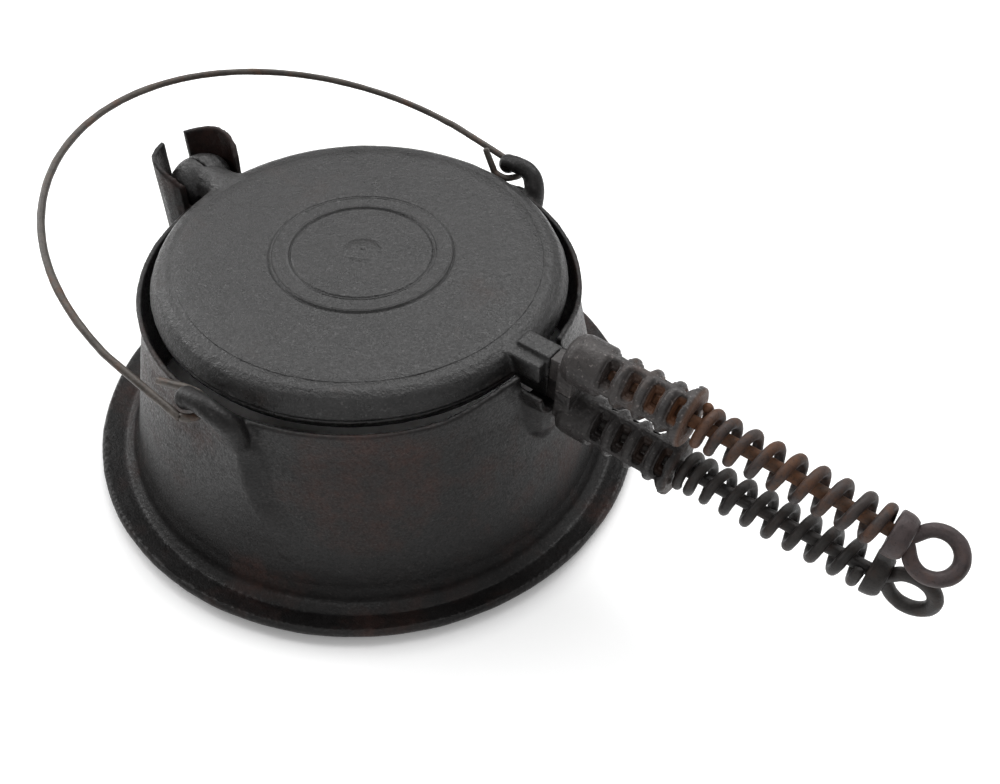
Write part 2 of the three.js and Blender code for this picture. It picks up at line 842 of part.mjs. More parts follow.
function coilCentreLine() {
  return coilPlaces().map((x, i, all) => {
    const angle = coilStartAngle - (2 * Math.PI * coilTurns * i) / (all.length - 1);
    return new THREE.Vector3(x, coilRadius * Math.cos(angle), coilRadius * Math.sin(angle));
  });
}

function coil() {
  const line = coilCentreLine();
  const rings = line.map((point, i) => {
    const before = line[Math.max(i - 1, 0)];
    const after = line[Math.min(i + 1, line.length - 1)];
    const tangent = after.clone().sub(before).normalize();
    const outward = new THREE.Vector3(0, point.y, point.z).normalize();
    const sideways = tangent.clone().cross(outward).normalize();
    return Array.from({ length: coilSides }, (_, k) => {
      const angle = (2 * Math.PI * k) / coilSides;
      return point
        .clone()
        .addScaledVector(outward, coilWireRadius * Math.cos(angle))
        .addScaledVector(sideways, coilWireRadius * Math.sin(angle));
    });
  });
  return solidOf(loftGeometry(rings));
}

// Least gap between one curl and the next, measured between points of the centre line.
function leastCoilGap() {
  const line = coilCentreLine();
  let least = Infinity;
  line.forEach((a, i) => {
    for (let j = i + Math.round(coilSteps / 2); j < line.length; j++) {
      least = Math.min(least, a.distanceTo(line[j]) - 2 * coilWireRadius);
    }
  });
  return least;
}

// Half of the eye, a drop-shaped loop in the XY plane; turn 1 is the +Y half and -1 the other.
function eyeHalf(turn) {
  const open = Math.acos(eyeRadius / eyeNeck);
  const start = Math.PI - open;
  const steps = 8;
  const overlap = 0.06;
  const points = [new THREE.Vector3(eyeX - eyeNeck - rodRadius, 0, 0)];
  points.push(new THREE.Vector3(eyeX - eyeNeck, 0, 0));
  for (let i = 0; i <= steps; i++) {
    const angle = start - ((start + overlap) * i) / steps;
    const x = eyeX + eyeRadius * Math.cos(angle);
    points.push(new THREE.Vector3(x, turn * eyeRadius * Math.sin(angle), 0));
  }
  const curve = new THREE.CatmullRomCurve3(points, false, "centripetal");
  return wireSolid(curve, eyeWireRadius, 12, 8);
}

function eyeRod() {
  const shank = cylinderX(rodStartX, eyeX - eyeNeck, rodRadius, 0, 0, smallSides);
  return shank.add(eyeHalf(1)).add(eyeHalf(-1));
}

// A round cap that closes the coil and narrows toward the eye.
function endCap() {
  const bore = rodRadius + fitGap;
  const domeShares = [
    [0.45, 0.96],
    [0.7, 0.75],
    [0.88, 0.42],
  ];
  const dome = domeShares.map(([along, down]) => [
    capStartX + along * capLength,
    capTipRadius + down * (capRadius - capTipRadius),
  ]);
  return turnedAboutX(
    [
      [capStartX, bore],
      [capStartX, capRadius],
      ...dome,
      [capStartX + capLength, capTipRadius],
      [capStartX + capLength, capMouthRadius],
      [capStartX + capLength - capMouthDepth, bore],
      [capStartX, bore],
    ],
    handleSides,
  );
}

// Wire bail. It is drawn flat, with its hooks on the Y axis and its bow toward +Z, then leans back.

function bail() {
  const hookSteps = 8;
  const bowSteps = 40;
  const bowHeight = bailReach - bailLegLength;
  const hook = [new THREE.Vector3(0, bailHalfWidth - 2 * hookRadius, hookTail)];
  for (let i = 0; i <= hookSteps; i++) {
    const angle = Math.PI + (Math.PI * i) / hookSteps;
    const y = hornCentreY + hookRadius * Math.cos(angle);
    hook.push(new THREE.Vector3(0, y, hookRadius + hookRadius * Math.sin(angle)));
  }
  const bow = Array.from({ length: bowSteps + 1 }, (_, i) => {
    const angle = (Math.PI * i) / bowSteps;
    return new THREE.Vector3(0, bailHalfWidth * Math.cos(angle), bailLegLength + bowHeight * Math.sin(angle));
  });
  const farHook = hook.toReversed().map((point) => new THREE.Vector3(0, -point.y, point.z));
  const curve = new THREE.CatmullRomCurve3([...hook, ...bow, ...farHook], false, "centripetal");
  return wireSolid(curve, bailWireRadius, 72, bailSides);
}

// Colours

const paint = (color, roughness, metalness) =>
  new THREE.MeshStandardMaterial({ color, roughness, metalness });
const darkIron = () => paint(0x232122, 0.55, 0.6);
const greyIron = () => paint(0x3a3838, 0.5, 0.6);
const rustySteel = () => paint(0x5a3826, 0.75, 0.5);
const darkSteel = () => paint(0x2b2624, 0.6, 0.6);
const brownWire = () => paint(0x4b433a, 0.55, 0.7);

// Assembly

function handleGroup(prefix, eyeTurn, coilPaint) {
  const group = new THREE.Group();
  group.position.z = handleOffset;
  group.add(meshOf(ferrule(), prefix + "_ferrule", greyIron()));
  const turning = new THREE.Group();
  turning.position.x = rodStartX;
  turning.rotation.y = handleTilt;
  const drawn = new THREE.Group();
  drawn.position.x = -rodStartX;
  const rod = meshOf(eyeRod(), prefix + "_eye_rod", coilPaint());
  rod.rotation.x = eyeTurn;
  drawn.add(meshOf(coil(), prefix + "_coil", coilPaint()));
  drawn.add(meshOf(endCap(), prefix + "_end_cap", darkSteel()));
  drawn.add(rod);
  turning.add(drawn);
  group.add(turning);
  return group;
}

const upperHalf = new THREE.Group();
upperHalf.position.z = partingHeight;
upperHalf.add(meshOf(plateCasting(true), "upper_plate", greyIron()));
upperHalf.add(handleGroup("upper", upperEyeTurn, rustySteel));

const lowerHalf = new THREE.Group();
lowerHalf.position.z = partingHeight;
lowerHalf.rotation.x = Math.PI;
lowerHalf.add(meshOf(plateCasting(false), "lower_plate", darkIron()));
lowerHalf.add(handleGroup("lower", lowerEyeTurn, darkSteel));

const bailMesh = meshOf(bail(), "bail", brownWire());
bailMesh.position.set(bailPivotX, 0, bailPivotHeight);
bailMesh.rotation.y = -bailLean;

// The whole object is centred along X between the bow of the bail and the eyes.
const backX = bailPivotX - bailReach * Math.sin(bailLean) - bailWireRadius;
const frontX = eyeX + eyeRadius + eyeWireRadius;
const assembly = new THREE.Group();
assembly.position.x = -(backX + frontX) / 2;
assembly.add(meshOf(baseCasting(), "base_casting", darkIron()));
assembly.add(upperHalf, lowerHalf, bailMesh);

const object = new THREE.Group();
object.add(assembly);

console.log("least gap between the curls of a coil: " + leastCoilGap().toFixed(2) + " mm");

export default object;
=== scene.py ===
import math

import bpy
import numpy as np
from mathutils import Matrix, Vector, noise


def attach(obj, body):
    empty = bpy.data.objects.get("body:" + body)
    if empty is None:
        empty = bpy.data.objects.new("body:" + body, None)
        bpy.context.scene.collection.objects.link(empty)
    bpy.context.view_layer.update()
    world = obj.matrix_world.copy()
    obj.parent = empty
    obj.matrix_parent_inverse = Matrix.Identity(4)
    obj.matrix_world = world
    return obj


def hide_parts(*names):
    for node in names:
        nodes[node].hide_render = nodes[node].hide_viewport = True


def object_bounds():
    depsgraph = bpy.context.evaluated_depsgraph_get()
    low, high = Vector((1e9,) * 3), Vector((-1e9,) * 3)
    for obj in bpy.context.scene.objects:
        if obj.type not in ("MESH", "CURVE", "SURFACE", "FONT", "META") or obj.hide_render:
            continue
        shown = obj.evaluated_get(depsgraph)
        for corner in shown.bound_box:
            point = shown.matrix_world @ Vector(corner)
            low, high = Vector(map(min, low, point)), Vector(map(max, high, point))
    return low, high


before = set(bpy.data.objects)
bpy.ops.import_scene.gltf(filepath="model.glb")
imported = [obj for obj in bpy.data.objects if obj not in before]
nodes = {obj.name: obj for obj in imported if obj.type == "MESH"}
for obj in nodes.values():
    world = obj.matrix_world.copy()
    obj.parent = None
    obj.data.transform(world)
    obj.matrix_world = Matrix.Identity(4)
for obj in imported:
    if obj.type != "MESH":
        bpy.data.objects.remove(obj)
cad_low, cad_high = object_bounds()

# Places and sizes of the model, in metres. The part is drawn about the middle of its plates, at SHIFT_X.
SHIFT_X = -0.059931
PARTING_Z = 0.0975
BASE_SIDES = 56
PLATE_SIDES = 48
FERRULE_SIDES = 16
MM_IN_METRE = 1000

# Crown of the upper plate: a thin disc, sunk into the plate, with the lines that the coarse mesh would blur
CROWN_TOP = 0.1079
CROWN_RADIUS = 0.0838
CROWN_THICKNESS = 0.0018
CROWN_SIDES = 360
RING_INNER = 0.0336
RING_OUTER = 0.0414
BOSS_RADIUS = 0.009
NEAR_AXIS = 0.00001

# Profile of that disc: distance from the axis and height over its top. A raised line counts from its ring.
CROWN_BOSS = ((NEAR_AXIS, 0.0012), (0.0015, 0.0012), (0.003, 0.00115), (0.006, 0.0009), (0.0082, 0.00035),
              (BOSS_RADIUS, -0.0001), (BOSS_RADIUS + 0.0008, 0))
CROWN_INNER_FLAT = (0.0105, 0.016, 0.024)
RAISED_LINE = ((-0.0022, 0), (-0.0014, 0), (-0.0011, -0.0006), (-0.0005, -0.0006), (-0.0003, 0.0003),
               (0.0001, 0.0004), (0.0005, 0.0002), (0.0007, 0), (0.0013, 0))
CROWN_OUTER_FLAT = (0.05, 0.06, 0.07, 0.078)
CROWN_EDGE = ((CROWN_RADIUS - 0.0004, 0), (CROWN_RADIUS - 0.0001, -0.00012), (CROWN_RADIUS, -0.0004),
              (CROWN_RADIUS, -CROWN_THICKNESS), (NEAR_AXIS, -CROWN_THICKNESS))

# Room for the disc: how far the plate's crown sinks, and the heights and radii over which that fades
CROWN_SINK = 0.001
SINK_HEIGHTS = (PARTING_Z + 0.0085, PARTING_Z + 0.0098)
SINK_RADII = (CROWN_RADIUS - 0.0022, CROWN_RADIUS - 0.0008)

# Rods of the handles
HANDLE_OFFSET = 0.0152
HANDLE_TILT = math.radians(1.2)
ROD_START_X = 0.120
ROD_RADIUS = 0.00265
ROD_STEPS = 90
ROD_SIDES = 20

# Ferrules and the windows in them
FERRULE_RADIUS = 0.011
FERRULE_BORE = 0.0058
FERRULE_END_X = 0.17205
FIRST_SLOT_X = 0.1364
SLOT_PITCH = 0.01017
SLOT_LENGTH = 0.0066
SLOT_WIDTH = 0.013
SLOTS = 4
SLOT_ROWS = 4
FIRST_ROW = math.pi / 4
ROW_STEP = math.pi / 2
LAST_SLOT_END = FIRST_SLOT_X + (SLOTS - 1) * SLOT_PITCH + SLOT_LENGTH / 2

# Bars between the windows: half widths across and along, drop of their edges, and radius where that starts
BAR_HALF = 0.0018
RAIL_HALF = 0.0022
BAR_DROP = 0.0013
DISH_START = FERRULE_BORE + 0.0036
LEAST_RADIUS = 0.001

# Walls within a ferrule: outer radius, and size of the windows as a share of those outside
FUNNEL = ((0.0062, 0.42), (0.0078, 0.55), (0.0092, 0.7), (0.0105, 0.86))
SLEEVE_BORE = 0.0037
SLEEVE_START_X = FIRST_SLOT_X - 0.8 * SLOT_PITCH
SLEEVE_END_X = FERRULE_END_X - 0.0002
SLEEVE_SIDES = 128
SLEEVE_COLUMNS = 84

# Bead round a ferrule's end
BEAD_X = 0.1704
BEAD_RADIUS = 0.0111
BEAD_WIRE = 0.0017
BEAD_STEPS = 96
BEAD_SIDES = 20

# Rust of a ferrule: deep in its windows, where it grows toward the end, and outside at the end
RUST_RADII = (0.0078, 0.01)
RUST_START_X = FIRST_SLOT_X - 0.006
RUST_STOP_X = FERRULE_END_X - 0.0018
RUST_GROWS_X = (FIRST_SLOT_X - 0.004, FIRST_SLOT_X + 3.2 * SLOT_PITCH)
RUST_LEAST = 0.05
RUST_GROWTH = 0.9
RUST_AT_END = 0.55
LOWER_RUST_SHARE = 0.6

# Coils
COIL_START_X = 0.1745
COIL_END_X = 0.24995
COIL_TURNS = 9.2
COIL_START_ANGLE = math.radians(42)
COIL_RADIUS = 0.0071
COIL_WIRE = 0.00215
COIL_SIDES = 14
COIL_STEPS_A_TURN = 40
COIL_CLOSED_PITCH = 0.5
COIL_OPENING_TURNS = 2.75
COIL_CLOSING_TURNS = 1

# Caps. The foot and the mouth give the distance from the axis and the place along it. The shoulder gives the
# share of the length, and how much of the difference between the two radii is left there.
CAP_START_X = 0.2524
CAP_LENGTH = 0.0072
CAP_RADIUS = 0.0092
CAP_TIP_RADIUS = 0.0072
CAP_BORE = ROD_RADIUS + 0.0003
CAP_SIDES = 72
CAP_FOOT = ((CAP_BORE, 0), (CAP_RADIUS - 0.0007, 0), (CAP_RADIUS - 0.0001, 0.0005), (CAP_RADIUS, 0.0013))
CAP_SHOULDER = ((0.4, 0.99), (0.58, 0.9), (0.74, 0.7), (0.88, 0.38), (0.97, 0.1))
CAP_MOUTH = ((CAP_TIP_RADIUS - 0.0007, CAP_LENGTH), (0.0056, CAP_LENGTH - 0.0008), (CAP_BORE, 0.001))

# Eyes
EYE_X = 0.2686
EYE_RADIUS = 0.0085
EYE_WIRE = 0.00295
EYE_NECK = 0.0106
EYE_NECK_X = EYE_X - EYE_NECK
EYE_TAIL = 0.004
EYE_TAIL_GAP = 0.0006
EYE_TAIL_WIRE = ROD_RADIUS * 0.8
EYE_FULLNESS = 0.4
EYE_RING_STEPS = 28
EYE_STEPS = 72
EYE_SIDES = 18
EYE_OVERLAP = 0.001
UPPER_EYE_TURN = math.radians(37)
LOWER_EYE_TURN = math.radians(90)

# Bail
BAIL_X = 0.0108
BAIL_Z = 0.097
BAIL_WIRE = 0.0017
BAIL_HALF_WIDTH = 0.1145
BAIL_REACH = 0.1719
BAIL_LEG = 0.0356
BAIL_LEAN = math.radians(80)
BAIL_STEPS = 440
BAIL_SIDES = 14
BOW_STEPS = 49
HOOK_RADIUS = 0.0068
HOOK_STEPS = 8
HORN_Y = 0.1077
FAR_HOOK = ((-0.0054, 0.1008, 0.11), (-0.0032, 0.1008, 0.106), (-0.0006, 0.1008, 0.1015),
            (0.0008, 0.1009, 0.0989), (0.0042, 0.1013, 0.0977), (0.0078, 0.1026, 0.0973))
NEAR_HOOK = ((0.0078, -0.1026, 0.0974), (0.003, -0.1012, 0.0981), (-0.003, -0.1022, 0.0982),
             (-0.008, -0.1036, 0.0977), (-0.014, -0.1046, 0.0962), (-0.0185, -0.105, 0.0946))

# Trunks of the horns: middle and radius in mm, from the knob down into the wall
TRUNK = ((4.5, 107.6, 102.6, 4.4), (9, 107.5, 103.7, 4.4), (14, 107.4, 103.8, 4.5), (18, 107.2, 103, 4.5),
         (21.8, 106.4, 100.8, 4.6), (24.2, 104.7, 96.5, 5.1), (24.9, 103.4, 91, 5.2), (25.4, 102.6, 85, 4.8),
         (26.2, 102, 78, 4.2), (27, 101.5, 72, 3.5))
TRUNK_STEPS = 40
TRUNK_SIDES = 24

# Wall of the base: height and radius at its top and foot, in mm
WALL_TOP = (82, 103.3)
WALL_FOOT = (21.7, 118)

# Swelling of the wall under a horn, by height in mm: its crest, how proud it is, its reach back and ahead
SWELL_HEIGHTS = (22, 32, 40, 48.6, 56.5, 66, 77.5, 89)
SWELL_CREST = (44, 40.5, 37.8, 35, 32, 30, 27.5, 26)
SWELL_PROUD = (0, 0.5, 1.8, 3.6, 5, 6, 6.4, 6.6)
SWELL_BACK = (66, 60, 55, 49, 44, 37, 28, 20)
SWELL_FRONT = (20, 17, 13, 10.5, 9, 8.5, 8, 8)
SWELL_FALL = 1.7
SWELL_BELLY = 0.6

# Where the swelling applies, in mm: heights over which it comes and goes, skin depth, least distance aside
SWELL_COMES = (24, 32)
SWELL_GOES = (79, 89)
SWELL_SKIN = 1.2
SWELL_ASIDE = 60

# Where a horn's root melts into the wall, in mm
ROOT_X_COMES = (4, 14)
ROOT_X_GOES = (42, 52)
ROOT_Z_COMES = (66, 74)
ROOT_Z_GOES = (97, 103)
ROOT_ASIDE = 80
ROOT_RADIUS = 101.6
ROOT_ROUNDS = 14

# Smoothing, and the waver of a surface
RELAX_FORTH = 0.5
RELAX_BACK = -0.53
WAVER_FALL = 0.6
WAVER_STEP = 2.0
WAVER_OCTAVES = 3

# Ends of a wire: how far out, in radii, and how thick there as a share
END_LEAD = (0.55, 0.4, 0.15)
END_THIN = (0.35, 0.75, 0.95)

# Lines: steps between two given points, and the steepest start that is measured against the upright
CURVE_STEPS = 12
UPRIGHT_LIMIT = 0.9

# Camera
CAMERA_AZIMUTH = math.radians(34.36)
CAMERA_PITCH = math.radians(46.82)
CAMERA_ROLL = math.radians(3.24)
CAMERA_TARGET = Vector((0.06694, -0.03847, 0.0593))
CAMERA_DISTANCE = 0.44225
CAMERA_LENS = 33.9145
CAMERA_SENSOR = 36
CAMERA_NEAR = 0.01

# Lights: name, place, aim, two sizes and watts
LIGHTS = (
    ("top_light", (-0.25, 0.75, 1.25), (0, 0.05, 0), 1.6, 1.3, 22),
    ("left_light", (-1.25, -0.1, 0.75), (0, 0, 0.05), 1.0, 0.9, 12),
    ("right_light", (1.1, 0.9, 0.6), (0, 0, 0.05), 1.0, 0.9, 3.5),
    ("front_light", (0.45, -1.1, 1.05), (0, -0.05, 0.08), 0.7, 0.6, 5),
)
WORLD_STRENGTH = 0.22

# Floor. It glows a little, but not near the middle of the base.
FLOOR_HALF = 3
FLOOR_GAP = 0.0002
FLOOR_GREY = 0.92
FLOOR_ROUGHNESS = 0.9
GLOW_DISTANCES = (0.135, 0.15)
GLOW_STRENGTH = 0.3

# Layers of noise in the paints: size of a blob in metres, detail, roughness, and step added to the seed
MOTTLE = (0.024, 7, 0.62, 0)
PITS = (0.0021, 4, 0.7, 3)
# GLINTS are painted highlights: bright specks in the colour where the grain would catch the light
GLINTS = (0.0014, 2, 0.5, 29)
RUST_FILM = (0.045, 9, 0.66, 7)
FLECKS = (0.004, 5, 0.7, 11)
SPARKLE = (0.0011, 3, 0.6, 15)
COARSE_GRAIN = (0.0026, 4, 0.62, 19)
FINE_GRAIN = (0.0009, 3, 0.6, 23)
STREAKS = (0.007, 6, 0.65, 0)
WIRE_RUST = (0.012, 7, 0.7, 5)
SCALE = (0.0014, 4, 0.65, 9)
SEED_SPREAD = (1, 0.7, 1.3)

# Range of a layer's noise, and what its two ends become if that isn't 0 and 1
MOTTLE_SPAN = (0.36, 0.66)
PITS_SPAN = (0.54, 0.7, 0, 0.75)
GLINTS_SPAN = (0.62, 0.72, 0, 0.4)
FLECKS_SPAN = (0.35, 0.65, 0.3, 1.0)
SPARKLE_SPAN = (0.35, 0.65, 0.16, -0.16)
STREAKS_SPAN = (0.36, 0.64)
SCALE_SPAN = (0.54, 0.7, 0, 0.6)
SHEEN_SPAN = (0.3, 0.7)

# Paint of iron: colours as shares of the dark or light one, changes to the roughness, and shares of the grain
PITS_TINT = 0.35
# GLINTS_TINT makes the painted highlight specks five times as bright as the light colour
GLINTS_TINT = 5
IRON_SMOOTHER = 0.05
IRON_ROUGHER = 0.07
IRON_RUST_ROUGHER = 0.22
COARSE_SHARE = 0.6
FINE_SHARE = 0.4
IRON_METALLIC = 0.1

# Paint of wire, the same way. START_RUST lies over a short stretch from where the wire's rust starts.
SCALE_TINT = 0.4
START_RUST_TINT = 1.5
START_RUST_LENGTH = 0.008
START_RUST = 0.8
WIRE_SHEEN = 0.08
WIRE_RUST_ROUGHER = 0.2
WIRE_GRAIN = 0.00025
WIRE_METALLIC = 0.15
WIRE_SPECULAR = 0.4

# Sockets of a mix node that hold its two colours and the result
MIX_A = 6
MIX_B = 7
MIX_RESULT = 2


def make_camera():
    ahead = Vector((0, math.cos(CAMERA_PITCH), -math.sin(CAMERA_PITCH)))
    right = Vector((1, 0, 0))
    up = right.cross(ahead)
    right, up = (
        right * math.cos(CAMERA_ROLL) + up * math.sin(CAMERA_ROLL),
        up * math.cos(CAMERA_ROLL) - right * math.sin(CAMERA_ROLL),
    )
    pose = Matrix((right, up, -ahead)).transposed().to_4x4()
    pose.translation = CAMERA_TARGET - ahead * CAMERA_DISTANCE
    data = bpy.data.cameras.new("camera")
    data.sensor_width = CAMERA_SENSOR
    data.sensor_fit = "HORIZONTAL"
    data.lens = CAMERA_LENS
    data.clip_start = CAMERA_NEAR
    camera = bpy.data.objects.new("camera", data)
    azimuth = Matrix.Rotation(CAMERA_AZIMUTH, 4, "Z")
    camera.matrix_world = Matrix.Translation((SHIFT_X, 0, 0)) @ (azimuth @ pose)
    bpy.context.collection.objects.link(camera)
    bpy.context.scene.camera = camera


# Materials


class Paint:
    """A material under construction."""

    def __init__(self, name):
        self.material = bpy.data.materials.new(name)
        self.material.use_nodes = True
        self.tree = self.material.node_tree
        self.shader = self.tree.nodes["Principled BSDF"]
        self.place = self.tree.nodes.new("ShaderNodeTexCoord").outputs["Object"]

    def link(self, source, target):
        self.tree.links.new(source, target)

    def noise(self, layer, seed):
        """One of the layers of noise, moved to a place that the seed gives."""
        size, detail, roughness, step = layer
        mapping = self.tree.nodes.new("ShaderNodeMapping")
        mapping.inputs["Location"].default_value = [(seed + step) * share for share in SEED_SPREAD]
        self.link(self.place, mapping.inputs["Vector"])
        node = self.tree.nodes.new("ShaderNodeTexNoise")
        node.inputs["Scale"].default_value = 1 / size
        node.inputs["Detail"].default_value = detail
        node.inputs["Roughness"].default_value = roughness
        self.link(mapping.outputs["Vector"], node.inputs["Vector"])
        return node.outputs["Fac"]

    def span(self, value, low, high, to_low=0.0, to_high=1.0):
        node = self.tree.nodes.new("ShaderNodeMapRange")
        node.inputs["From Min"].default_value = low
        node.inputs["From Max"].default_value = high
        node.inputs["To Min"].default_value = to_low
        node.inputs["To Max"].default_value = to_high
        self.link(value, node.inputs["Value"])
        return node.outputs["Result"]

    def math(self, operation, a, b):
        node = self.tree.nodes.new("ShaderNodeMath")
        node.operation = operation
        for socket, value in zip(node.inputs, (a, b)):
            if isinstance(value, (int, float)):
                socket.default_value = value
            else:
                self.link(value, socket)
        return node.outputs["Value"]

    def mix(self, share, a, b):
        node = self.tree.nodes.new("ShaderNodeMix")
        node.data_type = "RGBA"
        self.link(share, node.inputs["Factor"])
        for socket, value in ((node.inputs[MIX_A], a), (node.inputs[MIX_B], b)):
            if isinstance(value, tuple):
                socket.default_value = (*value, 1)
            else:
                self.link(value, socket)
        return node.outputs[MIX_RESULT]

    def along(self, axis):
        """The object coordinate along one axis, in metres."""
        node = self.tree.nodes.new("ShaderNodeSeparateXYZ")
        self.link(self.place, node.inputs["Vector"])
        return node.outputs[axis]

    def stored(self, name):
        """A number kept in the mesh for each of its points."""
        node = self.tree.nodes.new("ShaderNodeAttribute")
        node.attribute_name = name
        return node.outputs["Fac"]

    def finish(self, colour, roughness, height, depth, metallic, specular):
        self.link(colour, self.shader.inputs["Base Color"])
        self.link(roughness, self.shader.inputs["Roughness"])
        self.shader.inputs["Metallic"].default_value = metallic
        self.shader.inputs["Specular IOR Level"].default_value = specular
        bump = self.tree.nodes.new("ShaderNodeBump")
        bump.inputs["Strength"].default_value = 1.0
        bump.inputs["Distance"].default_value = depth
        self.link(height, bump.inputs["Height"])
        self.link(bump.outputs["Normal"], self.shader.inputs["Normal"])
        return self.material


def tinted(colour, factor):
    return tuple(part * factor for part in colour)


def iron(name, dark, light, rust, rust_span, rough, grain, specular, seed=0.0, rust_where=None):
    """Seasoned cast iron: sand grain, mottled blacking, painted highlights as bright glints, and a film of
    rust.
    """
    p = Paint(name)
    mottle = p.noise(MOTTLE, seed)
    colour = p.mix(p.span(mottle, *MOTTLE_SPAN), dark, light)
    pits = p.span(p.noise(PITS, seed), *PITS_SPAN)
    colour = p.mix(pits, colour, tinted(dark, PITS_TINT))
    # Painted highlights: small specks much brighter than the iron, standing in for the grain catching the
    # light
    glints = p.span(p.noise(GLINTS, seed), *GLINTS_SPAN)
    colour = p.mix(glints, colour, tinted(light, GLINTS_TINT))
    rust_mask = p.span(p.noise(RUST_FILM, seed), *rust_span)
    flecks = p.span(p.noise(FLECKS, seed), *FLECKS_SPAN)
    rust_mask = p.math("MULTIPLY", rust_mask, flecks)
    if rust_where:
        rust_mask = p.math("MAXIMUM", rust_mask, rust_where(p))
    colour = p.mix(rust_mask, colour, rust)
    sparkle = p.noise(SPARKLE, seed)
    roughness = p.span(mottle, *SHEEN_SPAN, rough - IRON_SMOOTHER, rough + IRON_ROUGHER)
    roughness = p.math("ADD", roughness, p.span(sparkle, *SPARKLE_SPAN))
    roughness = p.math("ADD", roughness, p.math("MULTIPLY", rust_mask, IRON_RUST_ROUGHER))
    coarse = p.noise(COARSE_GRAIN, seed)
    fine = p.noise(FINE_GRAIN, seed)
    height = p.math("ADD", p.math("MULTIPLY", coarse, COARSE_SHARE), p.math("MULTIPLY", fine, FINE_SHARE))
    return p.finish(colour, roughness, height, grain, IRON_METALLIC, specular)


def wire(name, dark, light, rust, rust_span, rough, seed=0.0, rust_start=None):
    """Bare wire under a skin of brown rust. A short stretch from rust_start on, if given, is rustier."""
    p = Paint(name)
    streak = p.noise(STREAKS, seed)
    colour = p.mix(p.span(streak, *STREAKS_SPAN), dark, light)
    rust_mask = p.span(p.noise(WIRE_RUST, seed), *rust_span)
    colour = p.mix(rust_mask, colour, rust)
    if rust_start is not None:
        near = p.span(p.along("X"), rust_start, rust_start + START_RUST_LENGTH, START_RUST, 0)
        colour = p.mix(near, colour, tinted(rust, START_RUST_TINT))
    scale = p.noise(SCALE, seed)
    colour = p.mix(p.span(scale, *SCALE_SPAN), colour, tinted(dark, SCALE_TINT))
    roughness = p.span(streak, *SHEEN_SPAN, rough - WIRE_SHEEN, rough + WIRE_SHEEN)
    roughness = p.math("ADD", roughness, p.math("MULTIPLY", rust_mask, WIRE_RUST_ROUGHER))
    return p.finish(colour, roughness, scale, WIRE_GRAIN, WIRE_METALLIC, WIRE_SPECULAR)


# Meshes


def mesh_of(name, points, faces):
    mesh = bpy.data.meshes.new(name)
    mesh.from_pydata([tuple(p) for p in points], [], faces)
    mesh.update()
    return mesh


def new_piece(name, points, faces, material):
    mesh = mesh_of(name, points, faces)
    mesh.materials.append(material)
    mesh.shade_smooth()
    piece = bpy.data.objects.new(name, mesh)
    bpy.context.collection.objects.link(piece)
    return piece


def stand_in(piece, body, slot, *replaced):
    if replaced:
        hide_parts(*replaced)
    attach(piece, body)


def vertices_of(mesh, what="co"):
    """Each point's place, or its normal."""
    values = np.empty(len(mesh.vertices) * 3)
    mesh.vertices.foreach_get(what, values)
    return values.reshape(-1, 3)


def set_vertices(mesh, points):
    mesh.vertices.foreach_set("co", points.astype(np.float32).ravel())
    mesh.update()


def joined(parts):
    """Several shapes as one. Each is a pair of points and faces, and so is the result."""
    all_points, all_faces = [], []
    for points, faces in parts:
        start = len(all_points)
        all_faces += [tuple(i + start for i in face) for face in faces]
        all_points += list(points)
    return np.array(all_points), all_faces


def smoothstep(value, low, high):
    share = np.clip((value - low) / (high - low), 0, 1)
    return share * share * (3 - 2 * share)


def relax(mesh, rounds, where=1):
    """Rounds edges without shrinking the whole. where is each point's share."""
    edges = np.empty(len(mesh.edges) * 2, dtype=np.int64)
    mesh.edges.foreach_get("vertices", edges)
    a, b = edges.reshape(-1, 2).T
    points = vertices_of(mesh)
    count = np.bincount(np.concatenate((a, b)), minlength=len(points))[:, None]
    for strength in (RELAX_FORTH, RELAX_BACK) * rounds:
        total = np.stack([
            np.bincount(a, weights=points[b, k], minlength=len(points))
            + np.bincount(b, weights=points[a, k], minlength=len(points))
            for k in range(3)
        ], axis=1)
        pull = total / count - points
        points = points + pull * where * strength
    set_vertices(mesh, points)


def rounded(points, sides, axis, centre):
    """Turns the flats of a shape with that many sides into a true circle about the axis."""
    u, v = [k for k in range(3) if k != axis]
    across = points[:, u] - centre[0]
    up = points[:, v] - centre[1]
    step = 2 * math.pi / sides
    off = np.mod(np.arctan2(up, across), step) - step / 2
    factor = np.cos(off) / math.cos(step / 2)
    out = points.copy()
    out[:, u] = centre[0] + across * factor
    out[:, v] = centre[1] + up * factor
    return out


def uneven(piece, size, height):
    """Lets a piece's surface waver a little, within the box of the solids."""
    points = vertices_of(piece.data)
    lift = np.array([noise.fractal(Vector(p) / size, WAVER_FALL, WAVER_STEP, WAVER_OCTAVES) for p in points])
    moved = points + vertices_of(piece.data, "normal") * (np.clip(lift, -1, 1) * height)[:, None]
    set_vertices(piece.data, np.clip(moved, tuple(cad_low), tuple(cad_high)))


def refined(node, name, body, material, voxel, rounds, reshape=None, extra=None):
    """A finer copy of a CAD node, with soft edges like a casting's. extra is a shape that melts into it."""
    mesh = nodes[node].data.copy()
    if extra:
        own = vertices_of(mesh), [tuple(f.vertices) for f in mesh.polygons]
        mesh = mesh_of(name, *joined((own, extra)))
    piece = bpy.data.objects.new(name, mesh)
    bpy.context.collection.objects.link(piece)
    remesh = piece.modifiers.new("remesh", "REMESH")
    remesh.mode = "VOXEL"
    remesh.voxel_size = voxel
    graph = bpy.context.evaluated_depsgraph_get()
    fine = bpy.data.meshes.new_from_object(piece.evaluated_get(graph))
    piece.modifiers.clear()
    piece.data = fine
    relax(fine, rounds)
    if reshape:
        set_vertices(fine, reshape(vertices_of(fine)))
    fine.materials.clear()
    fine.materials.append(material)
    fine.shade_smooth()
    stand_in(piece, body, node, node)
    return piece


